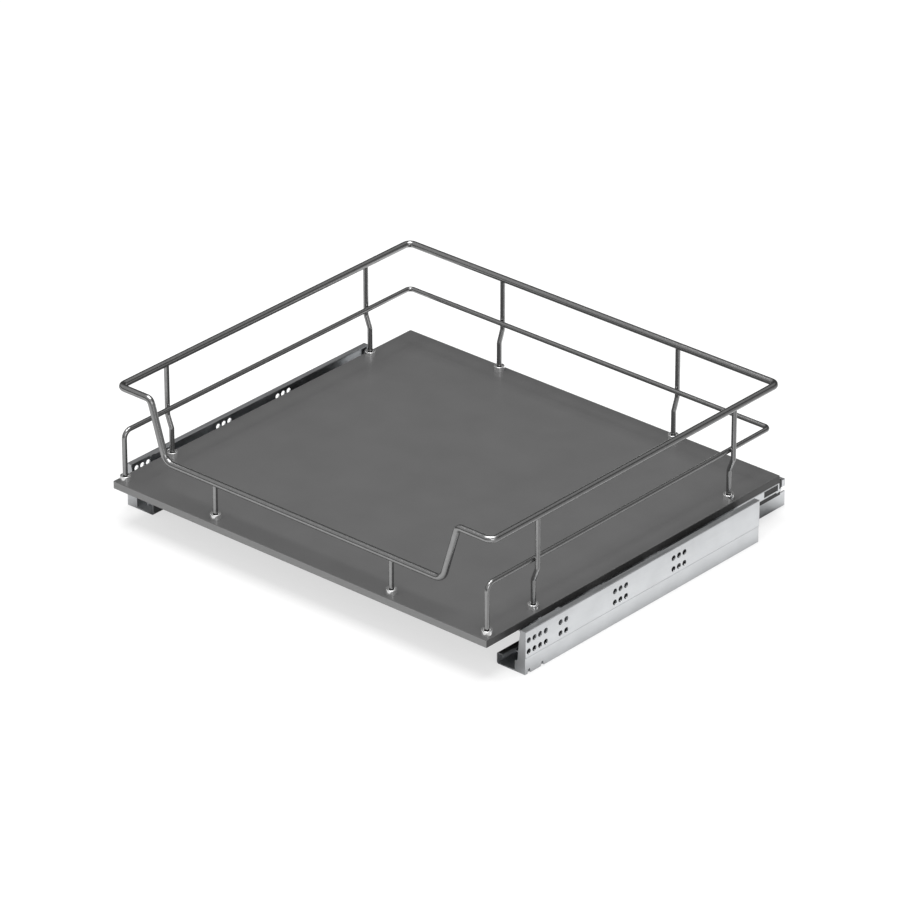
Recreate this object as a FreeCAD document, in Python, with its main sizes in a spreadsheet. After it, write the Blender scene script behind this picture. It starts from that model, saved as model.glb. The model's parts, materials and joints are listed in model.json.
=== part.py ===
"""Pull-out tray drawer: a flat board with a wire gallery rail, carried by a pair of
concealed full-extension runners. Millimetres, +Z up, front faces -Y, +X to the right.
The origin is at the middle of the footprint, on the surface that the runners stand on.
Right-hand runner pieces are modelled and the left-hand ones are their mirror images."""
import FreeCAD, Part
import math
import os
import re
import Sketcher

Vector = FreeCAD.Vector
os.makedirs("parts", exist_ok=True)
doc = FreeCAD.newDocument("pull_out_tray")
sheet = doc.addObject("Spreadsheet::Sheet", "Sizes")

# Driving dimensions: name, value and what it is
SIZES = [
    ("board_side_gap", 18.5, "base board's side edge inside the flange face"),
    ("board_back_gap", 1, "board's back edge before the drawer profiles' rear ends"),
    ("board_thickness", 9, "base board"),
    ("board_corner_radius", 1.2, "base board corners in plan"),
    ("board_edge_radius", 0.8, "eased edge of the base board"),
    ("tray_height", 42, "underside of the board above the runner's base"),
    ("top_rail_dia", 7.8, "wire of the top rail"),
    ("wire_dia", 5.6, "wire of the mid rail and the posts"),
    ("top_rail_height", 111, "top rail's centre above the board"),
    ("mid_rail_height", 58.5, "mid rail's centre above the board"),
    ("dip_rail_height", 42.3, "centre of the lowered front rail above the board"),
    ("dip_side_inset", 45.5, "dip's upper bends inside the side rails"),
    ("dip_slope_run", 21, "dip's lower bends inside its upper ones"),
    ("dip_top_radius", 7, "upper bends of the dip"),
    ("dip_low_radius", 13, "lower bends of the dip"),
    ("top_corner_radius", 8, "corners of the top rail"),
    ("mid_corner_radius", 6, "back corners of the mid rail"),
    ("mid_front_radius", 9, "bends of the mid rail down to its front feet"),
    ("rail_side_inset", 3, "top rail's centre inside the board's side edge"),
    ("rail_front_inset", 10.9, "top rail's centre behind the board's front edge"),
    ("rail_back_inset", 4.6, "top rail's centre before the board's back edge"),
    ("mid_front_inset", 10.4, "front feet of the mid rail behind the board's front edge"),
    ("side_post_first", 83.5, "first side post behind the board's front edge"),
    ("side_post_last", 77.5, "last side post before the board's back edge"),
    ("post_offset", 125, "front and back posts from the middle"),
    ("joggle_low", 34, "lower end of the posts' joggle above the board"),
    ("joggle_high", 49, "upper end of the posts' joggle above the board"),
    ("joggle_radius", 5, "bends of the joggle"),
    ("ferrule_dia", 12, "foot cup"),
    ("ferrule_height", 6, "foot cup"),
    ("ferrule_base", 1.5, "floor of the foot cup"),
    ("ferrule_wall", 1.5, "wall of the foot cup"),
    ("ferrule_round", 0.6, "rounded rim of the foot cup"),
    ("screw_dia", 2.9, "shank of the foot and clip screws"),
    ("screw_head_dia", 6, "countersunk head of a foot screw"),
    ("screw_head_height", 1.6, "countersunk head of a foot screw"),
    ("screw_socket", 2, "across flats of the drive socket"),
    ("thread_engagement", 8, "foot screw inside its post"),
    ("screw_clearance", 0.2, "hole radius over shank radius in board and cup"),
    ("tap_clearance", 0.05, "hole radius over shank radius where it is threaded"),
    ("wall", 1.5, "sheet steel of the runners"),
    ("bend_radius", 0.8, "inside radius of the sheet bends"),
    ("flange_span", 568, "between the outer faces of the two flanges"),
    ("runner_setback", 40, "runner's front behind the board's front edge"),
    ("flange_length", 383, "cabinet flange, front to back"),
    ("track_end_margin", 15, "roller track behind the drawer profile's hook"),
    ("flange_height", 50.5, "cabinet flange"),
    ("flange_step", 0.6, "lower part of the flange set in"),
    ("flange_step_height", 18.5, "height of the crease in the flange"),
    ("flange_step_rise", 1.5, "height of the crease's slope"),
    ("top_lip_width", 7, "inward lip on top of the flange"),
    ("lip_tab_start", 29.5, "wide part of the lip behind the flange's front end"),
    ("lip_tab_length", 33, "wide part of the lip, along the flange"),
    ("lip_tab_width", 2, "wide part of the lip past the lip's inner edge"),
    ("lip_nib_length", 5, "raised nib at each end of the wide part"),
    ("lip_nib_height", 0.8, "raised nib above the lip"),
    ("base_width", 39, "flange face to the track's inner face"),
    ("track_wall_height", 13.5, "inner wall of the track"),
    ("track_lip_width", 9, "curled lip on the track's inner wall"),
    ("track_lip_drop", 3.9, "depth of the curled lip"),
    ("rear_strip_width", 7, "track floor behind the flange"),
    ("rear_wall_height", 17.5, "upturned outer edge at the track's rear end"),
    ("rear_wall_length", 47, "upturned outer edge at the track's rear end"),
    ("tab_foot_width", 14.6, "front tab at its foot"),
    ("tab_foot_height", 12.5, "front tab up to its step"),
    ("tab_waist_width", 11, "front tab above its step"),
    ("tab_shoulder_width", 9, "front tab at three quarters of its height"),
    ("tab_shoulder_drop", 12.5, "shoulder below the flange's top"),
    ("rear_tab_width", 6, "inward tab at the flange's rear end"),
    ("fixing_hole_dia", 6.4, "screw holes in the flange"),
    ("hole_pitch", 9, "between holes of one group"),
    ("hole_row_gap", 13, "between the two rows of holes"),
    ("hole_row_low", 26.4, "lower row above the runner's base"),
    ("hole_first", 5, "first hole behind the flange's front end"),
    ("hole_second", 55.5, "second group behind the flange's front end"),
    ("hole_third", 143, "third group behind the flange's front end"),
    ("hole_fourth", 239, "fourth group behind the flange's front end"),
    ("notch_first", 4, "first notch in the flange's lower edge"),
    ("notch_second", 25, "second notch in the flange's lower edge"),
    ("notch_width", 5, "notches in the flange's lower edge"),
    ("notch_height", 5, "notches in the flange's lower edge"),
    ("notch_reach", 3, "notches, inwards from the flange face"),
    ("stop_margin", 18, "drawer profile behind its stop tab"),
    ("roller_dia", 5.6, "load rollers"),
    ("roller_length", 7.4, "load rollers"),
    ("roller_gap", 0.1, "above and below a load roller"),
    ("pocket_gap", 0.2, "round a roller in its cage"),
    ("slide_gap", 0.2, "cage to profile, up and down"),
    ("side_gap", 0.3, "cage to profile, sideways, and between moving faces"),
    ("middle_setback", 22, "middle profile behind the cabinet profile's front"),
    ("middle_end_margin", 32, "middle profile's rear end before the drawer profile's"),
    ("middle_web_u", 25, "middle profile's web inside the flange face"),
    ("middle_flange", 10, "middle profile's foot and head, over all"),
    ("middle_stop_height", 3.2, "stop tab on the middle profile's front end"),
    ("drawer_profile_setback", 32, "drawer profile behind the cabinet profile's front"),
    ("drawer_profile_length", 410, "drawer profile's walls"),
    ("drawer_outer_u", 20, "drawer profile's outer wall inside the flange face"),
    ("drawer_profile_width", 22, "drawer profile over its two walls"),
    ("drawer_outer_depth", 11, "drawer profile's outer wall, over all"),
    ("drawer_inner_depth", 15, "drawer profile's inner wall, over all"),
    ("drawer_lip_width", 8, "lip under the drawer profile's inner wall"),
    ("window_length", 23.6, "window in the outer wall for the rear guide"),
    ("window_end", 2.4, "outer wall left behind the window"),
    ("tail_length", 10, "tail of the top plate behind the walls"),
    ("tail_width", 14, "tail of the top plate, outer face to inner edge"),
    ("tail_neck", 7, "tail's neck beside the rear guide's cap"),
    ("tail_hook_length", 5.8, "downturned hook at the tail's end"),
    ("tail_hook_drop", 8, "downturned hook below the board"),
    ("rear_foot_length", 9, "foot of the outer wall at its rear end"),
    ("rear_foot_drop", 12.5, "foot of the outer wall below the board"),
    ("carriage_length", 170, "roller carriages"),
    ("lower_margin", 7.5, "lower carriage inside the track at full extension"),
    ("upper_margin", 3.5, "upper carriage inside the profiles at full extension"),
    ("carriage_stop_gap", 3.5, "upper carriage to the stop tab at full extension"),
    ("roller_end", 8, "first roller's centre from the cage's end"),
    ("roller_pitch", 10, "between rollers of one group"),
    ("head_grip", 3.5, "upper cage's pad under the middle profile's head"),
    ("damper_setback", 267, "plunger's face behind the cabinet profile's front"),
    ("damper_u", 18, "damper's axis inside the flange face"),
    ("damper_z", 12, "damper's axis above the runner's base"),
    ("cylinder_dia", 10, "damper cylinder"),
    ("cylinder_length", 86, "damper cylinder"),
    ("cylinder_wall", 1.5, "damper cylinder"),
    ("cylinder_end", 2, "end walls of the damper cylinder"),
    ("cylinder_start", 13, "cylinder behind the plunger's face"),
    ("rod_dia", 3, "plunger rod"),
    ("rod_length", 68, "plunger rod, head to piston"),
    ("plunger_head_dia", 8, "plunger head"),
    ("plunger_head_length", 5, "plunger head"),
    ("piston_length", 5, "piston"),
    ("bore_gap", 0.2, "piston, rod and spring in their bores"),
    ("spring_wire", 0.9, "radial thickness of the return spring"),
    ("housing_wall", 1.1, "damper housing round the cylinder"),
    ("housing_length", 102, "damper housing"),
    ("housing_start", 9, "housing behind the plunger's face"),
    ("housing_foot_width", 9, "foot of the housing beside the cylinder"),
    ("housing_foot_height", 3, "foot of the housing"),
    ("housing_window", 60, "opening over the cylinder"),
    ("catch_thickness", 6, "soft-close catch, along the travel"),
    ("catch_depth", 4, "soft-close catch, out from the drawer profile"),
    ("catch_low", 8, "catch's lower end above the runner's base"),
    ("catch_grip", 9, "catch's plate beyond its tongue, each way"),
    ("contact_gap", 0.3, "between faces that meet when closed"),
    ("rear_guide_lead", 4, "rear guide's strip before its window"),
    ("rear_guide_drop", 17.5, "rear guide below the board"),
    ("rear_cap_width", 5.8, "cap of the rear guide, outwards to inwards"),
    ("rear_cap_rise", 1.2, "cap of the rear guide above the board's underside"),
    ("rear_screw_inset", 9, "rear fixing screw before the drawer profile's rear end"),
    ("bumper_length", 8, "rear bumper"),
    ("bumper_height", 7.4, "rear bumper"),
    ("clip_height", 8, "front locking clip"),
    ("clip_reach", 24, "clip inboard of the drawer profile"),
    ("clip_front", 16, "clip before the drawer profile's front"),
    ("clip_back", 40, "clip behind the drawer profile's front"),
    ("clip_nose", 6, "clip's nose across the drawer profile's end"),
    ("lever_thickness", 3.6, "release lever"),
    ("lever_pivot_u", 10, "lever's pivot inboard of the drawer profile"),
    ("lever_pivot_y", 8, "lever's pivot behind the drawer profile's front"),
    ("lever_front", 30, "lever's grip before the drawer profile's front"),
    ("lever_width", 9, "lever's arm"),
    ("nose_start", 20, "lever's nose behind the drawer profile's front"),
    ("nose_length", 7, "lever's nose along the profile"),
    ("nose_bite", 0.9, "lever's nose past the drawer profile's inner wall"),
    ("lever_slot_play", 3, "slot for the nose longer than the nose, each way"),
    ("lever_pin_dia", 4, "lever pin"),
    ("pin_gap", 0.08, "lever's bore over the pin, on the radius"),
    ("clip_screw_u", 18, "clip screws inboard of the drawer profile"),
    ("clip_screw_front", 10, "front clip screw before the drawer profile's front"),
    ("clip_screw_back", 28, "back clip screw behind the drawer profile's front"),
    ("clip_screw_depth", 7, "clip screws inside the board"),
    ("clip_screw_head", 2, "clip screw's flat head"),
]

# Places worked out from the driving dimensions
DERIVED = [
    ("half_span", "flange_span / 2"),
    ("half_board", "half_span - board_side_gap"),
    ("tail_end", "drawer_profile_length + tail_length"),
    ("track_length", "drawer_profile_setback + tail_end + track_end_margin"),
    ("middle_length", "drawer_profile_setback + drawer_profile_length - middle_setback"
                      " - middle_end_margin"),
    ("front_y", "-(runner_setback + track_length) / 2"),
    ("runner_y", "front_y + runner_setback"),
    ("middle_y", "runner_y + middle_setback"),
    ("drawer_y", "runner_y + drawer_profile_setback"),
    ("damper_y", "runner_y + damper_setback"),
    ("board_depth", "runner_setback + drawer_profile_setback + drawer_profile_length"
                    " - board_back_gap"),
    ("board_top", "tray_height + board_thickness"),
    ("board_back_y", "front_y + board_depth"),
    ("rail_x", "half_board - rail_side_inset"),
    ("dip_top_half", "rail_x - dip_side_inset"),
    ("dip_low_half", "dip_top_half - dip_slope_run"),
    ("rail_front_y", "front_y + rail_front_inset"),
    ("rail_back_y", "board_back_y - rail_back_inset"),
    ("mid_x", "rail_x - wire_dia"),
    ("mid_back_y", "rail_back_y - wire_dia"),
    ("mid_front_y", "front_y + mid_front_inset"),
    ("side_post_y1", "front_y + side_post_first"),
    ("side_post_y2", "board_back_y - side_post_last"),
    ("top_rail_z", "board_top + top_rail_height"),
    ("mid_rail_z", "board_top + mid_rail_height"),
    ("dip_rail_z", "board_top + dip_rail_height"),
    ("joggle_low_z", "board_top + joggle_low"),
    ("joggle_high_z", "board_top + joggle_high"),
    ("foot_z", "board_top + ferrule_base"),
    ("foot_under", "wall + roller_dia + 2 * roller_gap"),
    ("head_top", "tray_height - wall - roller_dia - 2 * roller_gap"),
    ("head_under", "head_top - wall"),
    ("middle_reach", "middle_web_u + middle_flange"),
    ("lip_under", "track_wall_height - wall"),
    ("drawer_low", "tray_height - drawer_inner_depth"),
    ("drawer_outer_low", "tray_height - drawer_outer_depth"),
    ("drawer_inner_u", "drawer_outer_u + drawer_profile_width"),
    ("drawer_middle_u", "drawer_outer_u + drawer_profile_width / 2"),
    ("window_back", "drawer_profile_length - window_end"),
    ("window_front", "window_back - window_length"),
    ("window_low", "drawer_outer_low + wall"),
    ("window_top", "tray_height - wall - bend_radius"),
    ("rear_screw_y", "drawer_profile_length - rear_screw_inset"),
    ("tail_hook_y", "tail_end - tail_hook_length"),
    ("cage_u", "middle_web_u + side_gap"),
    ("cage_wall_u", "middle_reach + side_gap"),
    ("lower_cage_end", "base_width - wall - side_gap"),
    ("upper_cage_end", "drawer_inner_u - wall - side_gap"),
    ("drawer_stop", "drawer_profile_length - stop_margin"),
    ("travel", "2 * (drawer_stop - middle_setback + drawer_profile_setback - upper_margin"
               " - carriage_length - carriage_stop_gap)"),
    ("lower_carriage_y", "runner_y + travel / 4 + lower_margin"),
    ("upper_carriage_y", "middle_y + travel / 4 + upper_margin"),
    ("clip_under", "tray_height - clip_height"),
    ("lever_top", "clip_under - side_gap"),
    ("lever_under", "lever_top - lever_thickness"),
    ("piston_dia", "cylinder_dia - 2 * cylinder_wall - 2 * bore_gap"),
]


def fill_sheet():
    """Writes the driving dimensions as plain numbers and the places as formulas."""
    for row, (alias, value, meaning) in enumerate(SIZES, 1):
        sheet.set("A%d" % row, meaning)
        sheet.set("B%d" % row, str(value))
        sheet.setAlias("B%d" % row, alias)
    for row, (alias, formula) in enumerate(DERIVED, len(SIZES) + 2):
        sheet.set("B%d" % row, "=" + formula)
        sheet.setAlias("B%d" % row, alias)
    doc.recompute()


fill_sheet()
NAMES = {row[0] for row in SIZES} | {row[0] for row in DERIVED}


def full(text):
    """An expression of sheet names, as other objects have to write it."""
    return re.sub(r"[a-z_][a-z_0-9]*", lambda m: "Sizes." + m.group(0) if m.group(0) in NAMES
                  else m.group(0), str(text))


def value(text):
    """The number that an expression of sheet names has now."""
    result = sheet.evalExpression(full(text))
    return float(getattr(result, "Value", result))


def point(x, y, z):
    return Vector(value(x), value(y), value(z))


def bind(obj, prop, text):
    obj.setExpression(prop, full(text))


def place(obj, x, y, z):
    """Puts an object where three expressions say."""
    bind(obj, "Placement.Base.x", x)
    bind(obj, "Placement.Base.y", y)
    bind(obj, "Placement.Base.z", z)


# Bodies, sketches and features

FORWARD = {"XY_Plane": False, "XZ_Plane": True, "YZ_Plane": False}


def new_body(name, x="0", y="0", z="0"):
    body = doc.addObject("PartDesign::Body", name)
    body.Label = name
    place(body, x, y, z)
    return body


def new_sketch(body, name, plane, offset="0"):
    """A sketch on one of the body's origin planes, moved along the axis by the offset."""
    sketch = body.newObject("Sketcher::SketchObject", name)
    role = plane + "_Plane"
    support = [f for f in body.Origin.OriginFeatures if f.Role == role][0]
    sketch.AttachmentSupport = [(support, "")]
    sketch.MapMode = "FlatFace"
    sign = "-" if FORWARD[role] else ""
    bind(sketch, "AttachmentOffset.Base.z", "%s(%s)" % (sign, offset))
    return sketch


def fix(sketch, geometry, position, x, y):
    """Ties a point of the sketch to two expressions, measured from its origin."""
    for kind, text in (("DistanceX", x), ("DistanceY", y)):
        rule = Sketcher.Constraint(kind, -1, 1, geometry, position, value(text))
        index = sketch.addConstraint(rule)
        sketch.setExpression("Constraints[%d]" % index, full(text))


def outline(sketch, corners):
    """A closed polygon whose corners follow expressions."""
    first = sketch.GeometryCount
    spots = [Vector(value(x), value(y), 0) for x, y in corners]
    count = len(spots)
    for i in range(count):
        sketch.addGeometry(Part.LineSegment(spots[i], spots[(i + 1) % count]), False)
    for i in range(count):
        following = first + (i + 1) % count
        sketch.addConstraint(Sketcher.Constraint("Coincident", first + i, 2, following, 1))
    for i, (x, y) in enumerate(corners):
        fix(sketch, first + i, 1, x, y)


def rectangle(sketch, x0, y0, x1, y1):
    outline(sketch, [(x0, y0), (x1, y0), (x1, y1), (x0, y1)])


def circles(sketch, centres, radius):
    """Circles of one radius whose centres follow expressions."""
    for x, y in centres:
        circle = Part.Circle(Vector(value(x), value(y), 0), Vector(0, 0, 1), value(radius))
        index = sketch.addGeometry(circle, False)
        rule = sketch.addConstraint(Sketcher.Constraint("Radius", index, value(radius)))
        sketch.setExpression("Constraints[%d]" % rule, full(radius))
        fix(sketch, index, 3, x, y)


def pad(body, sketch, length, taper=None):
    """Adds the sketch's area, along its plane's axis in the positive direction."""
    feature = body.newObject("PartDesign::Pad", sketch.Name + "_pad")
    feature.Profile = sketch
    feature.Reversed = FORWARD[sketch.AttachmentSupport[0][0].Role]
    bind(feature, "Length", length)
    if taper is not None:
        bind(feature, "TaperAngle", taper)
    doc.recompute()
    return feature


def pocket(body, sketch, length=None, positive=False, taper=None):
    """Cuts the sketch's area, through everything or to a depth, and sees that it cuts."""
    before = body.Shape.Volume
    feature = body.newObject("PartDesign::Pocket", sketch.Name + "_cut")
    feature.Profile = sketch
    normal_is_positive = not FORWARD[sketch.AttachmentSupport[0][0].Role]
    feature.Reversed = positive == normal_is_positive
    if length is None:
        feature.Type = "ThroughAll"
    else:
        bind(feature, "Length", length)
    if taper is not None:
        bind(feature, "TaperAngle", taper)
    doc.recompute()
    if body.Shape.Volume >= before - 1e-6:
        raise ValueError("%s cuts nothing" % feature.Name)
    return feature


def revolve(body, sketch):
    """Turns the sketch's area once round its vertical axis."""
    feature = body.newObject("PartDesign::Revolution", sketch.Name + "_turn")
    feature.Profile = sketch
    feature.ReferenceAxis = (sketch, ["V_Axis"])
    doc.recompute()
    return feature


def round_edges(body, name, radius, wanted):
    """Fillets the edges that the test picks."""
    base = body.Tip
    shift = body.Placement.Base
    picked = ["Edge%d" % (i + 1) for i, edge in enumerate(body.Shape.Edges)
              if wanted(edge, shift)]
    if not picked:
        raise ValueError("%s finds no edges" % name)
    feature = body.newObject("PartDesign::Fillet", name)
    feature.Base = (base, picked)
    bind(feature, "Radius", radius)
    doc.recompute()
    return feature


def runs_along(edge, direction):
    """True for a straight edge along one axis."""
    if edge.Curve.TypeId != "Part::GeomLine":
        return False
    return abs(abs(edge.Curve.Direction.dot(direction)) - 1) < 1e-6


def bend_edges(corners):
    """A test for long edges along Y at the given u and z, u measured inwards."""
    spots = [(-value(u), value(z)) for u, z in corners]

    def wanted(edge, shift):
        if not runs_along(edge, Vector(0, 1, 0)) or edge.Length < 3 * value("wall"):
            return False
        middle = edge.CenterOfMass - shift
        return any(abs(middle.x - x) < 1e-4 and abs(middle.z - z) < 1e-4 for x, z in spots)
    return wanted


def inward(corners):
    """Corners given as u, inwards from the right flange face, and z."""
    return [("-(%s)" % u, z) for u, z in corners]


# Wire: straight runs joined by tangent arcs, swept with a round section

def bent_path(points, radii, closed):
    """A wire through the points, each inner corner rounded to its radius."""
    count = len(points)
    arcs = {}
    for i in range(count) if closed else range(1, count - 1):
        corner = points[i]
        back = (points[i - 1] - corner).normalize()
        ahead = (points[(i + 1) % count] - corner).normalize()
        turn = math.pi - back.getAngle(ahead)
        reach = radii[i] * math.tan(turn / 2)
        bulge = radii[i] / math.cos(turn / 2) - radii[i]
        middle = corner + (back + ahead).normalize() * bulge
        arcs[i] = (corner + back * reach, middle, corner + ahead * reach)
    edges = []
    for i in range(count if closed else count - 1):
        j = (i + 1) % count
        start = arcs[i][2] if i in arcs else points[i]
        end = arcs[j][0] if j in arcs else points[j]
        edges.append(Part.LineSegment(start, end).toShape())
        if j in arcs:
            edges.append(Part.Arc(*arcs[j]).toShape())
    return Part.Wire(edges)


def wire(name, points, radii, diameter, closed=False):
    """A round wire along a bent path."""
    path = doc.addObject("Part::Feature", name + "_path")
    path.Shape = bent_path(points, radii, closed)
    first = path.Shape.Edges[0]
    tangent = first.tangentAt(first.FirstParameter)
    section = doc.addObject("Part::Circle", name + "_section")
    bind(section, "Radius", "%s / 2" % diameter)
    turn = FreeCAD.Rotation(Vector(0, 0, 1), tangent)
    section.Placement = FreeCAD.Placement(first.valueAt(first.FirstParameter), turn)
    sweep = doc.addObject("Part::Sweep", name + "_wire")
    sweep.Sections = [section]
    sweep.Spine = (path, ["Edge%d" % (i + 1) for i in range(len(path.Shape.Edges))])
    sweep.Solid = True
    sweep.Frenet = False
    doc.recompute()
    return sweep


def cylinder(name, radius, length, base, axis):
    """A plain cylinder used as a cutting tool."""
    tool = doc.addObject("Part::Cylinder", name)
    bind(tool, "Radius", radius)
    bind(tool, "Height", length)
    tool.Placement = FreeCAD.Placement(Vector(), FreeCAD.Rotation(Vector(0, 0, 1), axis))
    place(tool, *base)
    return tool


def cut(name, base, tools):
    """The base less each tool in turn."""
    for i, tool in enumerate(tools):
        result = doc.addObject("Part::Cut", "%s_cut%d" % (name, i))
        result.Base = base
        result.Tool = tool
        base = result
    doc.recompute()
    return base


NODES = {}


def keep(name, obj):
    """Names an object as one of the tray's pieces."""
    obj.Label = name
    NODES[name] = obj
    return obj


def mirrored(name, source):
    """The left-hand twin of a right-hand piece."""
    twin = doc.addObject("Part::Mirroring", name)
    twin.Source = source
    twin.Normal = Vector(1, 0, 0)
    twin.Base = Vector(0, 0, 0)
    doc.recompute()
    return keep(name, twin)


def both_sides(name, body):
    keep("right_" + name, body)
    mirrored("left_" + name, body)


# Feet: every post and both front ends of the mid rail stand on one

HEAD_TAPER = "-atan((screw_head_dia - screw_dia) / (2 * screw_head_height))"

SIDE_POSTS = {"front": "side_post_y1", "back": "side_post_y2"}
SIGNS = {"left": "-", "right": ""}
FEET = []
for side in SIGNS:
    for spot in SIDE_POSTS.values():
        FEET.append((SIGNS[side] + "mid_x", spot))
    FEET.append((SIGNS[side] + "post_offset", "mid_back_y"))
    FEET.append((SIGNS[side] + "post_offset", "rail_front_y"))
    FEET.append((SIGNS[side] + "mid_x", "mid_front_y"))


def rear_screw_spots():
    """Centres of the two screws through the drawer profiles' rear ends."""
    return [(sign + "(half_span - drawer_middle_u)", "drawer_y + rear_screw_y")
            for sign in SIGNS.values()]


def clip_screw_spots():
    """Centres of the four clip screws."""
    spots = []
    for sign in SIGNS.values():
        across = sign + "(half_span - drawer_inner_u - clip_screw_u)"
        spots.append((across, "drawer_y - clip_screw_front"))
        spots.append((across, "drawer_y + clip_screw_back"))
    return spots


def make_board():
    """Base board with eased edges, screw holes and countersinks."""
    body = new_body("base_board", z="tray_height")
    plan = new_sketch(body, "board_plan", "XY")
    rectangle(plan, "-half_board", "front_y", "half_board", "board_back_y")
    pad(body, plan, "board_thickness")
    round_edges(body, "board_corners", "board_corner_radius",
                lambda edge, shift: runs_along(edge, Vector(0, 0, 1)))
    round_edges(body, "board_easing", "board_edge_radius",
                lambda edge, shift: not runs_along(edge, Vector(0, 0, 1)))
    holes = new_sketch(body, "board_holes", "XY")
    circles(holes, FEET, "screw_dia / 2 + screw_clearance")
    pocket(body, holes, positive=True)
    cone = new_sketch(body, "board_countersinks", "XY")
    circles(cone, FEET, "screw_head_dia / 2 + screw_clearance")
    pocket(body, cone, "screw_head_height + contact_gap", positive=True, taper=HEAD_TAPER)
    pilots = new_sketch(body, "board_pilots", "XY")
    circles(pilots, clip_screw_spots() + rear_screw_spots(), "screw_dia / 2 + tap_clearance")
    pocket(body, pilots, "clip_screw_depth + contact_gap", positive=True)
    keep("base_board", body)


def make_top_rail():
    """Closed top rail with the dip in front."""
    corners = [
        ("-rail_x", "rail_back_y", "top_rail_z", "top_corner_radius"),
        ("rail_x", "rail_back_y", "top_rail_z", "top_corner_radius"),
        ("rail_x", "rail_front_y", "top_rail_z", "top_corner_radius"),
        ("dip_top_half", "rail_front_y", "top_rail_z", "dip_top_radius"),
        ("dip_low_half", "rail_front_y", "dip_rail_z", "dip_low_radius"),
        ("-dip_low_half", "rail_front_y", "dip_rail_z", "dip_low_radius"),
        ("-dip_top_half", "rail_front_y", "top_rail_z", "dip_top_radius"),
        ("-rail_x", "rail_front_y", "top_rail_z", "top_corner_radius"),
    ]
    points = [point(x, y, z) for x, y, z, radius in corners]
    radii = [value(radius) for x, y, z, radius in corners]
    keep("top_rail", wire("top_rail", points, radii, "top_rail_dia", closed=True))


def foot_bore(name, x, y):
    """Tool for the threaded hole in a wire's foot."""
    return cylinder(name + "_bore", "screw_dia / 2 + tap_clearance",
                    "thread_engagement + contact_gap", (x, y, "foot_z"), Vector(0, 0, 1))


def make_mid_rail():
    """Mid rail: a U whose front ends bend down to their feet."""
    corners = [
        ("-mid_x", "mid_front_y", "foot_z", "0"),
        ("-mid_x", "mid_front_y", "mid_rail_z", "mid_front_radius"),
        ("-mid_x", "mid_back_y", "mid_rail_z", "mid_corner_radius"),
        ("mid_x", "mid_back_y", "mid_rail_z", "mid_corner_radius"),
        ("mid_x", "mid_front_y", "mid_rail_z", "mid_front_radius"),
        ("mid_x", "mid_front_y", "foot_z", "0"),
    ]
    points = [point(x, y, z) for x, y, z, radius in corners]
    radii = [value(radius) for x, y, z, radius in corners]
    rail = wire("mid_rail", points, radii, "wire_dia")
    bores = [foot_bore("mid_rail_" + side, sign + "mid_x", "mid_front_y")
             for side, sign in SIGNS.items()]
    keep("mid_rail", cut("mid_rail", rail, bores))


def rail_saddle(name, x, y, z, along):
    """Tool that shapes a post's end to the rail above it."""
    reach = "2 * top_rail_dia"
    start = [x, y, z]
    index = 0 if along.x else 1
    start[index] = "%s - %s / 2" % (start[index], reach)
    return cylinder(name + "_saddle", "top_rail_dia / 2", reach, start, along)


def make_joggled_post(name, foot, head, along):
    """Post that steps out above the mid rail's weld to stand under the top rail."""
    points = [point(foot[0], foot[1], "foot_z"), point(foot[0], foot[1], "joggle_low_z"),
              point(head[0], head[1], "joggle_high_z"), point(head[0], head[1], "top_rail_z")]
    radii = [0, value("joggle_radius"), value("joggle_radius"), 0]
    post = wire(name, points, radii, "wire_dia")
    tools = [rail_saddle(name, head[0], head[1], "top_rail_z", along),
             foot_bore(name, foot[0], foot[1])]
    keep(name, cut(name, post, tools))


def make_straight_post(name, x, y):
    """Short post under the lowered front rail."""
    post = wire(name, [point(x, y, "foot_z"), point(x, y, "dip_rail_z")], [0, 0], "wire_dia")
    tools = [rail_saddle(name, x, y, "dip_rail_z", Vector(1, 0, 0)), foot_bore(name, x, y)]
    keep(name, cut(name, post, tools))


def make_posts():
    for side, sign in SIGNS.items():
        for spot, y in SIDE_POSTS.items():
            make_joggled_post("post_%s_%s" % (side, spot), (sign + "mid_x", y),
                              (sign + "rail_x", y), Vector(0, 1, 0))
        x = sign + "post_offset"
        make_joggled_post("post_back_" + side, (x, "mid_back_y"), (x, "rail_back_y"),
                          Vector(1, 0, 0))
        make_straight_post("post_front_" + side, x, "rail_front_y")


def make_foot_ferrules():
    """Ten chrome cups, open at the top round the wire."""
    body = new_body("foot_ferrules", z="board_top")
    outside = new_sketch(body, "ferrule_outside", "XY")
    circles(outside, FEET, "ferrule_dia / 2")
    pad(body, outside, "ferrule_height")
    cup = new_sketch(body, "ferrule_cup", "XY", "ferrule_base")
    circles(cup, FEET, "ferrule_dia / 2 - ferrule_wall")
    pocket(body, cup, positive=True)
    hole = new_sketch(body, "ferrule_hole", "XY")
    circles(hole, FEET, "screw_dia / 2 + screw_clearance")
    pocket(body, hole, positive=True)
    top = value("board_top + ferrule_height")
    radius = value("ferrule_dia / 2")
    round_edges(body, "ferrule_rim", "ferrule_round",
                lambda edge, shift: edge.Curve.TypeId == "Part::GeomCircle"
                and abs(edge.Curve.Radius - radius) < 1e-6
                and abs(edge.Curve.Center.z - top) < 1e-6)
    keep("foot_ferrules", body)


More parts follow.
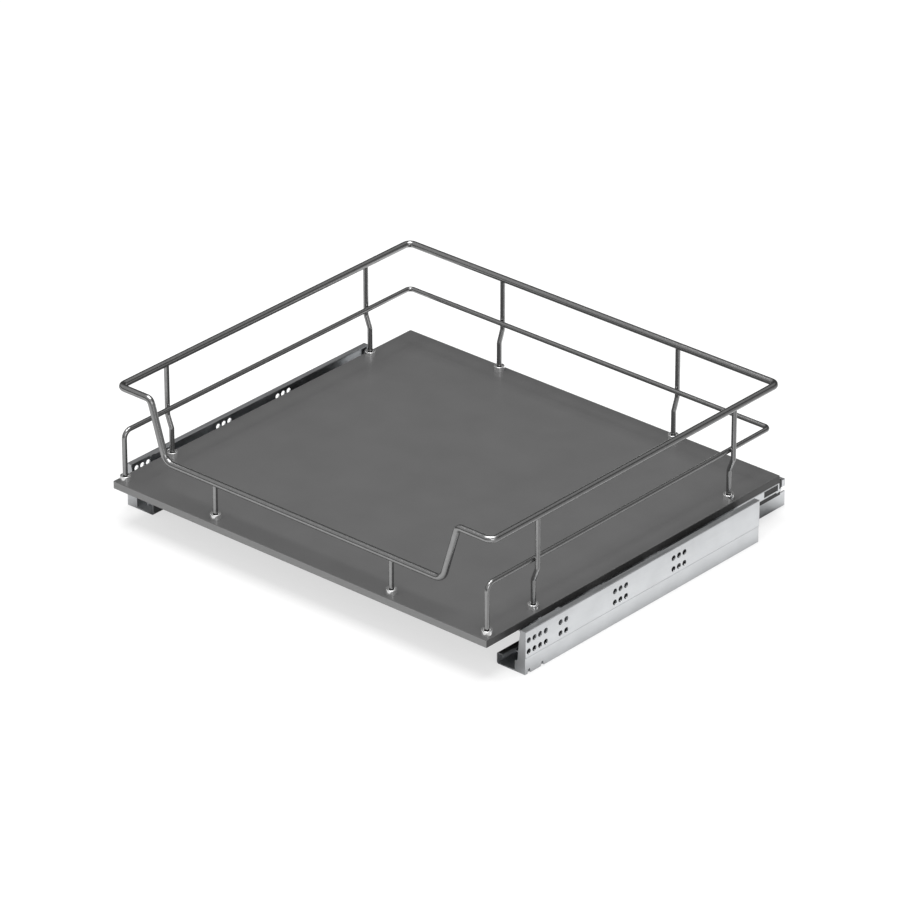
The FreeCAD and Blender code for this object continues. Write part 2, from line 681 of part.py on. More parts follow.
def make_foot_screws():
    """Ten countersunk screws from under the board into the wires' feet."""
    body = new_body("foot_screws", z="tray_height")
    heads = new_sketch(body, "screw_heads", "XY")
    circles(heads, FEET, "screw_head_dia / 2")
    pad(body, heads, "screw_head_height + contact_gap", taper=HEAD_TAPER)
    shanks = new_sketch(body, "screw_shanks", "XY")
    circles(shanks, FEET, "screw_dia / 2")
    pad(body, shanks, "board_thickness + ferrule_base + thread_engagement")
    sockets = new_sketch(body, "screw_sockets", "XY")
    for x, y in FEET:
        outline(sockets, hexagon(x, y, "screw_socket"))
    pocket(body, sockets, "screw_head_height - contact_gap", positive=True)
    keep("foot_screws", body)


def hexagon(x, y, across_flats):
    """Corners of a hexagon round a centre."""
    corners = []
    for i in range(6):
        angle = math.radians(60 * i + 30)
        reach = "%s / 3 ^ 0.5" % across_flats
        corners.append(("%s + %s * %.6f" % (x, reach, math.cos(angle)),
                        "%s + %s * %.6f" % (y, reach, math.sin(angle))))
    return corners


# Runner profiles

def track_section():
    """Floor strip and inner wall of the roller track."""
    return inward([
        ("base_width - rear_strip_width", "0"), ("base_width", "0"),
        ("base_width", "track_wall_height"), ("base_width - wall", "track_wall_height"),
        ("base_width - wall", "wall"), ("base_width - rear_strip_width", "wall")])


def lip_section():
    """Curled lip along the top of the track's inner wall."""
    return inward([
        ("base_width", "lip_under - wall"), ("base_width", "track_wall_height"),
        ("base_width - track_lip_width", "track_wall_height"),
        ("base_width - track_lip_width", "track_wall_height - track_lip_drop"),
        ("base_width - track_lip_width + wall", "track_wall_height - track_lip_drop"),
        ("base_width - track_lip_width + wall", "lip_under"),
        ("base_width - wall", "lip_under"), ("base_width - wall", "lip_under - wall")])


def flange_section():
    """Floor, flange with its crease, and the lip on top."""
    return inward([
        ("flange_step", "0"), ("base_width - wall", "0"), ("base_width - wall", "wall"),
        ("flange_step + wall", "wall"), ("flange_step + wall", "flange_step_height"),
        ("wall", "flange_step_height + flange_step_rise"), ("wall", "flange_height - wall"),
        ("top_lip_width", "flange_height - wall"), ("top_lip_width", "flange_height"),
        ("0", "flange_height"), ("0", "flange_step_height + flange_step_rise"),
        ("flange_step", "flange_step_height"),
    ])


def hole_spots():
    """Centres of the fixing holes: y from the flange's front end, and z."""
    spots = []
    for start, columns in (("hole_first", 4), ("hole_second", 2), ("hole_third", 3),
                           ("hole_fourth", 3)):
        for column in range(columns):
            for row in range(2):
                spots.append(("%s + %d * hole_pitch" % (start, column),
                              "hole_row_low + %d * hole_row_gap" % row))
    return spots


def make_cabinet_profile():
    """Flange with its holes, tabs and lip, floor, and the roller track."""
    body = new_body("cabinet_profile", "half_span", "runner_y", "0")
    flange = new_sketch(body, "flange", "XZ")
    outline(flange, flange_section())
    pad(body, flange, "flange_length")
    track = new_sketch(body, "track", "XZ")
    outline(track, track_section())
    pad(body, track, "track_length")
    rear_wall = new_sketch(body, "track_rear_wall", "XZ", "track_length - rear_wall_length")
    rectangle(rear_wall, "-(base_width - rear_strip_width)", "0",
              "-(base_width - rear_strip_width + wall)", "rear_wall_height")
    pad(body, rear_wall, "rear_wall_length")
    lip = new_sketch(body, "track_lip", "XZ")
    outline(lip, lip_section())
    pad(body, lip, "flange_length")
    tab = new_sketch(body, "front_tab", "XZ")
    outline(tab, inward([
        ("flange_step", "0"), ("tab_foot_width", "0"), ("tab_foot_width", "tab_foot_height"),
        ("tab_waist_width", "tab_foot_height + wall"),
        ("tab_shoulder_width", "flange_height - tab_shoulder_drop"),
        ("top_lip_width", "flange_height"), ("0", "flange_height"),
        ("0", "flange_step_height + flange_step_rise"), ("flange_step", "flange_step_height")]))
    pad(body, tab, "wall")
    wide = new_sketch(body, "lip_wide_part", "XY", "flange_height - wall")
    rectangle(wide, "-(top_lip_width + lip_tab_width)", "lip_tab_start", "-(top_lip_width - wall)",
              "lip_tab_start + lip_tab_length")
    pad(body, wide, "wall")
    nibs = new_sketch(body, "lip_nibs", "XY", "flange_height - wall")
    for start in ("lip_tab_start", "lip_tab_start + lip_tab_length - lip_nib_length"):
        rectangle(nibs, "-(top_lip_width + lip_tab_width)", start,
                  "-top_lip_width", start + " + lip_nib_length")
    pad(body, nibs, "wall + lip_nib_height")
    rear = new_sketch(body, "rear_tab", "XZ", "flange_length - wall")
    rectangle(rear, "0", "flange_step_height + flange_step_rise", "-rear_tab_width",
              "flange_height")
    pad(body, rear, "wall")
    holes = new_sketch(body, "fixing_holes", "YZ")
    circles(holes, hole_spots(), "fixing_hole_dia / 2")
    pocket(body, holes)
    notches = new_sketch(body, "edge_notches", "YZ")
    for start in ("notch_first", "notch_second"):
        outline(notches, [
            (start, "0"), (start + " + notch_width / 4", "notch_height"),
            (start + " + notch_width * 3 / 4", "notch_height"),
            (start + " + notch_width", "0")])
    pocket(body, notches, "notch_reach")
    round_edges(body, "cabinet_outer_bends", "bend_radius + wall", bend_edges([
        ("base_width", "0"), ("base_width", "track_wall_height"),
        ("base_width - track_lip_width", "track_wall_height")]))
    round_edges(body, "cabinet_top_bend", "bend_radius", bend_edges([("0", "flange_height")]))
    round_edges(body, "cabinet_inner_bends", "bend_radius", bend_edges([
        ("base_width - wall", "wall"), ("base_width - wall", "lip_under")]))
    both_sides("cabinet_profile", body)


def make_middle_profile():
    """C section open towards the track, with a stop tab on its head."""
    body = new_body("middle_profile", "half_span", "middle_y", "0")
    section = new_sketch(body, "middle_section", "XZ")
    outline(section, inward([
        ("middle_web_u", "foot_under"), ("middle_reach", "foot_under"),
        ("middle_reach", "foot_under + wall"), ("middle_web_u + wall", "foot_under + wall"),
        ("middle_web_u + wall", "head_under"), ("middle_reach", "head_under"),
        ("middle_reach", "head_top"), ("middle_web_u", "head_top")]))
    pad(body, section, "middle_length")
    stop = new_sketch(body, "middle_stop", "XZ")
    rectangle(stop, "-(middle_web_u + wall)", "head_top", "-(middle_reach - wall)",
              "head_top + middle_stop_height")
    pad(body, stop, "wall")
    round_edges(body, "middle_outer_bends", "bend_radius + wall", bend_edges([
        ("middle_web_u", "foot_under"), ("middle_web_u", "head_top")]))
    round_edges(body, "middle_inner_bends", "bend_radius", bend_edges([
        ("middle_web_u + wall", "foot_under + wall"), ("middle_web_u + wall", "head_under")]))
    both_sides("middle_profile", body)


def make_drawer_profile():
    """Inverted channel under the board, with a stop, a window and a hooked tail."""
    body = new_body("drawer_profile", "half_span", "drawer_y", "0")
    section = new_sketch(body, "drawer_section", "XZ")
    outline(section, inward([
        ("drawer_outer_u", "drawer_outer_low"), ("drawer_outer_u + wall", "drawer_outer_low"),
        ("drawer_outer_u + wall", "tray_height - wall"),
        ("drawer_inner_u - wall", "tray_height - wall"),
        ("drawer_inner_u - wall", "drawer_low + wall"),
        ("drawer_inner_u - drawer_lip_width", "drawer_low + wall"),
        ("drawer_inner_u - drawer_lip_width", "drawer_low"), ("drawer_inner_u", "drawer_low"),
        ("drawer_inner_u", "tray_height"), ("drawer_outer_u", "tray_height")]))
    pad(body, section, "drawer_profile_length")
    round_edges(body, "drawer_outer_bends", "bend_radius + wall", bend_edges([
        ("drawer_outer_u", "tray_height"), ("drawer_inner_u", "tray_height"),
        ("drawer_inner_u", "drawer_low")]))
    round_edges(body, "drawer_inner_bends", "bend_radius", bend_edges([
        ("drawer_outer_u + wall", "tray_height - wall"),
        ("drawer_inner_u - wall", "tray_height - wall"),
        ("drawer_inner_u - wall", "drawer_low + wall")]))
    tail = new_sketch(body, "drawer_tail", "XY", "tray_height - wall")
    neck = "drawer_outer_u + tail_width - tail_neck"
    outline(tail, inward([
        (neck, "drawer_profile_length - wall"),
        ("drawer_outer_u + tail_width", "drawer_profile_length - wall"),
        ("drawer_outer_u + tail_width", "tail_end"), ("drawer_outer_u", "tail_end"),
        ("drawer_outer_u", "tail_hook_y"), (neck, "tail_hook_y")]))
    pad(body, tail, "wall")
    hook = new_sketch(body, "tail_hook", "YZ", "-(drawer_outer_u + wall)")
    rectangle(hook, "tail_hook_y", "tray_height - tail_hook_drop", "tail_end", "tray_height")
    pad(body, hook, "wall")
    foot = new_sketch(body, "rear_foot", "YZ", "-(drawer_outer_u + wall)")
    outline(foot, [
        ("window_back - 2 * wall", "drawer_outer_low"),
        ("window_back - wall", "tray_height - rear_foot_drop"),
        ("window_back - 2 * wall + rear_foot_length", "tray_height - rear_foot_drop + wall / 2"),
        ("window_back - 2 * wall + rear_foot_length", "window_low + wall / 2"),
        ("drawer_profile_length - wall / 2", "window_low + wall / 2"),
        ("drawer_profile_length - wall / 2", "drawer_outer_low")])
    pad(body, foot, "wall")
    window = new_sketch(body, "guide_window", "YZ", "-(drawer_outer_u - wall)")
    rectangle(window, "window_front", "window_low", "window_back", "window_top")
    pocket(body, window, "3 * wall")
    stop = new_sketch(body, "drawer_stop_tab", "XZ", "drawer_stop")
    rectangle(stop, "-(middle_web_u + 2 * wall)", "head_top + contact_gap + side_gap",
              "-(middle_reach - wall)", "tray_height - wall")
    pad(body, stop, "wall")
    slot = new_sketch(body, "lever_slot", "YZ", "-(drawer_inner_u - 2 * wall)")
    rectangle(slot, "nose_start - lever_slot_play", "lever_under - side_gap",
              "nose_start + nose_length + lever_slot_play", "lever_top + side_gap")
    pocket(body, slot, "3 * wall")
    hole = new_sketch(body, "rear_screw_hole", "XY")
    circles(hole, [("-drawer_middle_u", "rear_screw_y")], "screw_dia / 2 + screw_clearance")
    pocket(body, hole, positive=True)
    both_sides("drawer_profile", body)


# Roller carriages

def roller_spots():
    """Roller centres along a cage: three near each end."""
    near = ["roller_end + %d * roller_pitch" % i for i in range(3)]
    far = ["carriage_length - roller_end - %d * roller_pitch" % i for i in range(3)]
    return near + far


def make_carriage(name, y, section, pocket_from, roller_z):
    """A moulded cage with six pockets, and its six rollers."""
    body = new_body(name + "_carriage", "half_span", y, "0")
    sketch = new_sketch(body, name + "_cage", "XZ")
    outline(sketch, section)
    pad(body, sketch, "carriage_length")
    middle = "(cage_u + cage_wall_u) / 2"
    half = "(roller_length / 2 + pocket_gap)"
    pockets = new_sketch(body, name + "_pockets", "XY", pocket_from)
    for y_spot in roller_spots():
        rectangle(pockets, "-(%s - %s)" % (middle, half),
                  "%s - roller_dia / 2 - pocket_gap" % y_spot,
                  "-(%s + %s)" % (middle, half),
                  "%s + roller_dia / 2 + pocket_gap" % y_spot)
    pocket(body, pockets, "roller_dia + roller_gap * 2", positive=True)
    both_sides(name + "_carriage", body)
    rollers = new_body(name + "_rollers", "half_span", y, "0")
    ends = new_sketch(rollers, name + "_roller_ends", "YZ",
                      "-(%s + roller_length / 2)" % middle)
    circles(ends, [(y_spot, roller_z) for y_spot in roller_spots()], "roller_dia / 2")
    pad(rollers, ends, "roller_length")
    both_sides(name + "_rollers", rollers)


def make_lower_carriage():
    section = inward([
        ("cage_u", "wall + slide_gap"), ("lower_cage_end", "wall + slide_gap"),
        ("lower_cage_end", "lip_under - slide_gap"),
        ("base_width - track_lip_width + wall + side_gap", "lip_under - slide_gap"),
        ("base_width - track_lip_width + wall + side_gap", "foot_under + wall + slide_gap"),
        ("cage_wall_u", "foot_under + wall + slide_gap"),
        ("cage_wall_u", "foot_under - slide_gap"), ("cage_u", "foot_under - slide_gap")])
    make_carriage("lower", "lower_carriage_y", section, "wall",
                  "wall + roller_gap + roller_dia / 2")


def make_upper_carriage():
    section = inward([
        ("cage_u", "head_top + slide_gap"), ("cage_wall_u", "head_top + slide_gap"),
        ("cage_wall_u", "head_under - slide_gap"),
        ("middle_reach - head_grip", "head_under - slide_gap"),
        ("middle_reach - head_grip", "drawer_low + wall + slide_gap"),
        ("upper_cage_end", "drawer_low + wall + slide_gap"),
        ("upper_cage_end", "tray_height - wall - slide_gap"),
        ("cage_u", "tray_height - wall - slide_gap")])
    make_carriage("upper", "upper_carriage_y", section, "head_top",
                  "head_top + roller_gap + roller_dia / 2")


# Soft close

def turned(name, profile):
    """A piece turned about the damper's axis: radius, and distance behind its face."""
    body = new_body(name, "half_span - damper_u", "damper_y", "damper_z")
    sketch = new_sketch(body, name + "_profile", "XY")
    outline(sketch, profile)
    revolve(body, sketch)
    both_sides(name, body)
    return body


def make_damper():
    """Housing on the runner's floor, cylinder, plunger and return spring."""
    outer = "cylinder_dia / 2"
    inner = "cylinder_dia / 2 - cylinder_wall"
    start = "cylinder_start"
    end = "cylinder_start + cylinder_length"
    rod_hole = "rod_dia / 2 + bore_gap"
    turned("damper_cylinder", [
        (rod_hole, start), (outer, start), (outer, end), ("0", end),
        ("0", end + " - cylinder_end"), (inner, end + " - cylinder_end"),
        (inner, start + " + cylinder_end"), (rod_hole, start + " + cylinder_end")])
    piston = "plunger_head_length + rod_length"
    turned("damper_plunger", [
        ("0", "0"), ("plunger_head_dia / 2 - wall / 2", "0"), ("plunger_head_dia / 2", "wall / 2"),
        ("plunger_head_dia / 2", "plunger_head_length"), ("rod_dia / 2", "plunger_head_length"),
        ("rod_dia / 2", piston), ("piston_dia / 2", piston),
        ("piston_dia / 2", piston + " + piston_length"), ("0", piston + " + piston_length")])
    behind = piston + " + piston_length + contact_gap"
    turned("damper_spring", [
        (inner + " - bore_gap - spring_wire", behind), (inner + " - bore_gap", behind),
        (inner + " - bore_gap", end + " - cylinder_end - contact_gap"),
        (inner + " - bore_gap - spring_wire", end + " - cylinder_end - contact_gap")])
    make_damper_housing()


def make_damper_housing():
    """Moulded cradle that holds the cylinder on the runner's floor."""
    body = new_body("damper_housing", "half_span - damper_u", "damper_y + housing_start", "0")
    half = "(cylinder_dia / 2 + bore_gap + housing_wall)"
    section = new_sketch(body, "housing_section", "XZ")
    outline(section, [
        ("-" + half, "wall"), (half + " + housing_foot_width", "wall"),
        (half + " + housing_foot_width", "wall + housing_foot_height"),
        (half, "wall + housing_foot_height"), (half, "damper_z + " + half),
        ("-" + half, "damper_z + " + half)])
    pad(body, section, "housing_length")
    top = value("damper_z + " + half)
    round_edges(body, "housing_shoulders", "cylinder_dia / 4",
                lambda edge, shift: runs_along(edge, Vector(0, 1, 0))
                and abs(edge.CenterOfMass.z - top) < 1e-6)
    bore = new_sketch(body, "housing_bore", "XZ")
    circles(bore, [("0", "damper_z")], "cylinder_dia / 2 + bore_gap")
    pocket(body, bore, positive=True)
    window = new_sketch(body, "housing_window_plan", "XY", "damper_z")
    rectangle(window, "-cylinder_dia / 4", "(housing_length - housing_window) / 2",
              "cylinder_dia / 4", "(housing_length + housing_window) / 2")
    pocket(body, window, positive=True)
    both_sides("damper_housing", body)


def make_soft_close_catch():
    """Tongue on the drawer profile that pushes the plunger in as the tray closes."""
    body = new_body("soft_close_catch", "half_span - drawer_outer_u",
                    "damper_y - contact_gap - catch_thickness", "0")
    side = new_sketch(body, "catch_side", "YZ")
    outline(side, [
        ("-catch_grip", "tray_height - wall - bend_radius"),
        ("-catch_grip", "window_low"), ("0", "drawer_outer_low - 3 * wall"),
        ("0", "catch_low"), ("catch_thickness", "catch_low"),
        ("catch_thickness", "drawer_outer_low - 3 * wall"),
        ("catch_thickness + catch_grip", "window_low"),
        ("catch_thickness + catch_grip", "tray_height - wall - bend_radius")])
    pad(body, side, "catch_depth")
    both_sides("soft_close_catch", body)


def make_rear_guide():
    """Black guide inside the outer wall, with a boss in its window and an end cap."""
    body = new_body("rear_guide", "half_span", "drawer_y", "0")
    inside = "-(drawer_outer_u + wall + side_gap)"
    strip = new_sketch(body, "guide_strip", "YZ", "-(middle_web_u - side_gap)")
    rectangle(strip, "window_front - rear_guide_lead", "tray_height - rear_guide_drop",
              "tail_hook_y - contact_gap", "tray_height - wall - contact_gap")
    pad(body, strip, "middle_web_u - side_gap - drawer_outer_u - wall - side_gap")
    boss = new_sketch(body, "guide_boss", "YZ", inside)
    rectangle(boss, "window_front + contact_gap", "window_low + contact_gap",
              "window_back - contact_gap", "window_top - contact_gap")
    pad(body, boss, "wall")
    cap = new_sketch(body, "guide_cap", "XZ", "drawer_profile_length + contact_gap")
    cap_inner_u = "drawer_outer_u + contact_gap + rear_cap_width"
    outline(cap, inward([
        ("drawer_outer_u + contact_gap", "window_low + wall"),
        ("middle_web_u - side_gap", "window_low + wall"),
        ("middle_web_u - side_gap", "head_top + side_gap"), (cap_inner_u, "head_top + side_gap"),
        (cap_inner_u, "tray_height + rear_cap_rise"),
        ("drawer_outer_u + contact_gap", "tray_height + rear_cap_rise")]))
    pad(body, cap, "tail_hook_y - drawer_profile_length - 2 * contact_gap")
    both_sides("rear_guide", body)


def make_rear_bumper():
    """Rubber block on the track's floor that the middle profile closes against."""
    body = new_body("rear_bumper", "half_span", "middle_y + middle_length + contact_gap", "wall")
    plan = new_sketch(body, "bumper_plan", "XY")
    rectangle(plan, "-(base_width - rear_strip_width + side_gap)", "0",
              "-(base_width - wall - bend_radius)", "bumper_length")
    pad(body, plan, "bumper_height")
    rear = value("middle_y + middle_length + contact_gap + bumper_length")
    round_edges(body, "bumper_round", "wall / 2",
                lambda edge, shift: runs_along(edge, Vector(0, 0, 1))
                and abs(edge.CenterOfMass.y - rear) < 1e-6)
    both_sides("rear_bumper", body)


# Front locking clip and its release lever, u measured inboard of the drawer profile

def make_locking_clip():
    """Moulded clip screwed under the board at the drawer profile's front end."""
    body = new_body("locking_clip", "half_span - drawer_inner_u", "drawer_y", "clip_under")
    plan = new_sketch(body, "clip_plan", "XY")
    outline(plan, inward([
        ("side_gap", "clip_back"), ("side_gap", "-side_gap"), ("-clip_nose", "-side_gap"),
        ("-clip_nose", "-clip_front + 2 * wall"), ("-clip_nose / 4", "-clip_front"),
        ("clip_reach - 2 * wall", "-clip_front"), ("clip_reach", "-clip_front + 2 * wall"),
        ("clip_reach", "clip_back - clip_height"), ("clip_reach - clip_height", "clip_back")]))
    pad(body, plan, "clip_height")
    seats = new_sketch(body, "clip_screw_seats", "XY")
    spots = [("-clip_screw_u", "-clip_screw_front"), ("-clip_screw_u", "clip_screw_back")]
    circles(seats, spots, "screw_head_dia / 2 + screw_clearance")
    pocket(body, seats, "clip_screw_head + contact_gap", positive=True)
    holes = new_sketch(body, "clip_screw_holes", "XY")
    circles(holes, spots, "screw_dia / 2 + screw_clearance")
    pocket(body, holes, positive=True)
    pivot = new_sketch(body, "clip_pin_hole", "XY")
    circles(pivot, [("-lever_pivot_u", "lever_pivot_y")], "lever_pin_dia / 2")
    pocket(body, pivot, "clip_height - wall", positive=True)
    both_sides("locking_clip", body)


def make_release_lever():
    """Lever under the clip whose nose locks into the drawer profile's inner wall."""
    body = new_body("release_lever", "half_span - drawer_inner_u", "drawer_y", "lever_under")
    plan = new_sketch(body, "lever_plan", "XY")
    left = "lever_pivot_u - lever_width / 2"
    right = "lever_pivot_u + lever_width / 2"
    outline(plan, inward([
        (left + " - 2 * wall", "-lever_front"), (right + " + 2 * wall", "-lever_front"),
        (right + " + 3 * wall", "-lever_front + lever_width"),
        (right, "-lever_front + 2 * lever_width"), (right, "nose_start"),
        (right + " - wall", "nose_start + nose_length"),
        ("-wall - nose_bite", "nose_start + nose_length"), ("-wall - nose_bite", "nose_start"),
        (left, "nose_start - wall"), (left, "-lever_front + 2 * lever_width"),
        (left + " - 3 * wall", "-lever_front + lever_width")]))
    pad(body, plan, "lever_thickness")
    bore = new_sketch(body, "lever_bore", "XY")
    circles(bore, [("-lever_pivot_u", "lever_pivot_y")], "lever_pin_dia / 2 + pin_gap")
    pocket(body, bore, positive=True)
    both_sides("release_lever", body)


def make_lever_pin():
    """Headed pin that holds the lever to the clip."""
    body = new_body("lever_pin", "half_span - drawer_inner_u - lever_pivot_u",
                    "drawer_y + lever_pivot_y", "lever_under - side_gap - wall")
    profile = new_sketch(body, "pin_profile", "XZ")
    top = "wall + side_gap + lever_thickness + side_gap + clip_height - wall"
    outline(profile, [
        ("0", "0"), ("lever_pin_dia / 2 + wall", "0"), ("lever_pin_dia / 2 + wall", "wall"),
        ("lever_pin_dia / 2", "wall"), ("lever_pin_dia / 2", top), ("0", top)])
    revolve(body, profile)
    both_sides("lever_pin", body)


def make_clip_screws():
    """Four flat-headed screws through the clips into the board."""
    body = new_body("clip_screws", z="clip_under")
    heads = new_sketch(body, "clip_screw_heads", "XY", "contact_gap")
    circles(heads, clip_screw_spots(), "screw_head_dia / 2")
    pad(body, heads, "clip_screw_head")
    shanks = new_sketch(body, "clip_screw_shanks", "XY", "contact_gap")
    circles(shanks, clip_screw_spots(), "screw_dia / 2")
    pad(body, shanks, "clip_height + clip_screw_depth - contact_gap")
    keep("clip_screws", body)


def make_rear_screws():
    """Two flat-headed screws up through the drawer profiles' rear ends."""
    under = "tray_height - wall - clip_screw_head - contact_gap"
    body = new_body("rear_screws", z=under)
    heads = new_sketch(body, "rear_screw_heads", "XY")
    circles(heads, rear_screw_spots(), "screw_head_dia / 2")
    pad(body, heads, "clip_screw_head")
    shanks = new_sketch(body, "rear_screw_shanks", "XY")
    circles(shanks, rear_screw_spots(), "screw_dia / 2")
    pad(body, shanks, "clip_screw_head + contact_gap + wall + clip_screw_depth")
    keep("rear_screws", body)


def check_and_write():
    """Sees that every object built, then writes one file for each piece."""
    doc.recompute()
    for obj in doc.Objects:
        if "Invalid" in obj.State or "Error" in obj.State:
            raise ValueError("%s failed: %s" % (obj.Name, obj.State))
    for name, obj in NODES.items():
        if obj.Shape.isNull() or not obj.Shape.isValid():
            raise ValueError("%s has no valid shape" % name)
    for name, obj in NODES.items():
        obj.Shape.exportStep("parts/%s.step" % name)
    print("%d pieces written" % len(NODES))


make_board()
make_top_rail()
make_mid_rail()
make_posts()
make_foot_ferrules()
make_foot_screws()
make_cabinet_profile()
make_middle_profile()
make_drawer_profile()
make_lower_carriage()
make_upper_carriage()
make_damper()
make_soft_close_catch()
make_rear_guide()
make_rear_bumper()
make_locking_clip()
make_release_lever()
make_lever_pin()
make_clip_screws()
make_rear_screws()
check_and_write()
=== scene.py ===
"""Finishes, light and camera for the pull-out tray, in metres and in the model's own frame."""
import json
import math

import bpy
from mathutils import Matrix, Vector


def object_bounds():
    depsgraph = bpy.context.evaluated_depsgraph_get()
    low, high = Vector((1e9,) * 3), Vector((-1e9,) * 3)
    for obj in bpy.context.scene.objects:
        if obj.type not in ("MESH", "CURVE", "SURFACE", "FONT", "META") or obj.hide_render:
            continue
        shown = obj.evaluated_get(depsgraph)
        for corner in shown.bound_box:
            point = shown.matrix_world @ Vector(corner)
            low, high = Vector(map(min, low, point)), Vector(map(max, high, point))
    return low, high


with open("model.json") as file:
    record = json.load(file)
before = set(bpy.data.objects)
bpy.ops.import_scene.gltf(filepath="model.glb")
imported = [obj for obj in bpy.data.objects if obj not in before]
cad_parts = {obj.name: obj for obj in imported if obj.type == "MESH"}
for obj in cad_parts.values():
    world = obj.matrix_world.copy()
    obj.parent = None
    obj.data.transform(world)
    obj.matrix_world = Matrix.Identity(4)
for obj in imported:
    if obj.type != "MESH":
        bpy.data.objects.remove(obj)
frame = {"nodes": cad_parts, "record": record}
cad_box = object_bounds()

# Camera: where the photograph was taken from
AIM = Vector((0.0076, -0.0164, 0.0891))
CAMERA_DISTANCE = 6.928
CAMERA_TURN = math.radians(41.31)
CAMERA_RISE = math.radians(27.70)
CAMERA_ROLL = math.radians(0.08)
CAMERA_REACH = 200
LENS_MM = 258.99
SENSOR_MM = 36.0

# Studio light from afar. Each soft patch has its brightness, the sines of the elevations
# over which it fades in, and the axis and the sines over which it fades in sideways
ROOM_LIGHT = 0.08
PATCHES = {
    "right wall": (0.35, (0.45, 0.10), "X", (-0.2, 0.7)),
    "high front": (0.5, (0.0, 0.45), "Y", (0.5, 0.0)),
    "high back": (0.38, (0.46, 0.72), "Y", (0.2, 0.6)),
}

# Square lamps: turn from the front and rise in degrees, distance and size in metres, watts
LAMPS = {
    "overhead": (0, 88, 3.0, 2.5, 105),
    "right": (60, 20, 3.0, 1.5, 12),
}

FLOOR_HALF = 60.0
FLOOR_GAP = 0.0004
FLOOR_GREY = (0.36, 0.38)
FLOOR_GLOW = 0.65
# In metal the floor glows as painted light beside and behind the tray, and in front of it:
# brightest there, then dim towards the tray and dark far away; under the tray it doesn't glow,
# a painted shadow. The places where each glow fades lie along Y, or across X where so named
SHADE_EDGE = 0.02
SIDE_START = (-0.29, -0.17)
SIDE_ACROSS_X = (0.33, 0.41)
FRONT_GLOW = 0.75
DIM_GLOW = 0.1
FRONT_FADE = (-0.38, -0.28)
FRONT_END = (-1.1, -0.7)

# The part of a noise's range that is stretched over a blend or a span of numbers
NOISE_SPAN = (0.3, 0.7)

# Board: greys of its face, of its front and back edges, which are lighter partly as edge
# banding and partly as painted light, and of its side edges, darkened as painted shade, and
# the parts of the surface direction over which they blend
BOARD_FACE = (0.094, 0.102)
BOARD_FRONT_EDGE = 0.34
BOARD_SIDE_EDGE_SHADE = 0.05
EDGE_TO_FACE = (0.1, 0.6)
FRONT_TO_SIDE = (0.4, 0.9)


def grey(level, tint=0.0):
    """A linear grey, the tint making it cooler."""
    return (level * (1 - tint), level, level * (1 + tint))


class Nodes:
    """A material's node tree, with short calls to add and join nodes."""

    def __init__(self, name):
        self.material = bpy.data.materials.new(name)
        self.material.use_nodes = True
        self.tree = self.material.node_tree
        self.shader = self.tree.nodes["Principled BSDF"]
        self.place = self.add("ShaderNodeNewGeometry").outputs["Position"]

    def add(self, kind, **settings):
        node = self.tree.nodes.new(kind)
        for key, setting in settings.items():
            setattr(node, key, setting)
        return node

    def join(self, output, socket):
        self.tree.links.new(output, socket)

    def surface(self, **values):
        """Sets the shader's plain values, with spaces written as underscores."""
        for key, number in values.items():
            self.shader.inputs[key.replace("_", " ")].default_value = number

    def parts(self, vector):
        """A vector's X, Y and Z."""
        node = self.add("ShaderNodeSeparateXYZ")
        self.join(vector, node.inputs[0])
        return node.outputs

    def stretched(self, stretch):
        """Positions scaled along each axis."""
        node = self.add("ShaderNodeMapping")
        node.inputs["Scale"].default_value = stretch
        self.join(self.place, node.inputs["Vector"])
        return node.outputs["Vector"]

    def noise(self, grain, detail=2.0, stretch=None):
        """Noise whose cells are about the grain, in metres."""
        node = self.add("ShaderNodeTexNoise")
        node.inputs["Scale"].default_value = 1 / grain
        node.inputs["Detail"].default_value = detail
        self.join(self.stretched(stretch) if stretch else self.place, node.inputs["Vector"])
        return node.outputs["Fac"]

    def spread(self, factor, low, high, span=NOISE_SPAN):
        """The factor's span mapped to a range of numbers."""
        node = self.add("ShaderNodeMapRange")
        for socket, number in zip(("From Min", "From Max", "To Min", "To Max"),
                                  (*span, low, high)):
            node.inputs[socket].default_value = number
        self.join(factor, node.inputs["Value"])
        return node.outputs["Result"]

    def fade(self, factor, span):
        """0 to 1 over the factor's span."""
        return self.spread(factor, 0.0, 1.0, span)

    def calculate(self, operation, *factors):
        """One number worked out from others."""
        node = self.add("ShaderNodeMath", operation=operation)
        for factor, socket in zip(factors, node.inputs):
            self.join(factor, socket)
        return node.outputs[0]

    def mix(self, factor):
        """A node that blends its colour A into its colour B."""
        node = self.add("ShaderNodeMix", data_type="RGBA")
        self.join(factor, node.inputs["Factor"])
        return node

    def blend(self, factor, low, high):
        """A colour between two colours."""
        node = self.mix(factor)
        node.inputs["A"].default_value = (*low, 1)
        node.inputs["B"].default_value = (*high, 1)
        return node.outputs["Result"]

    def colour(self, output):
        self.join(output, self.shader.inputs["Base Color"])

    def mottle(self, grain, low, high):
        """Lets the surface's colour wander between two colours."""
        self.colour(self.blend(self.fade(self.noise(grain), NOISE_SPAN), low, high))

    def roughness(self, factor, low, high):
        self.join(self.spread(factor, low, high), self.shader.inputs["Roughness"])

    def bump(self, height, depth, strength):
        """Surface relief of the given depth in metres."""
        node = self.add("ShaderNodeBump")
        node.inputs["Distance"].default_value = depth
        node.inputs["Strength"].default_value = strength
        self.join(height, node.inputs["Height"])
        self.join(node.outputs["Normal"], self.shader.inputs["Normal"])


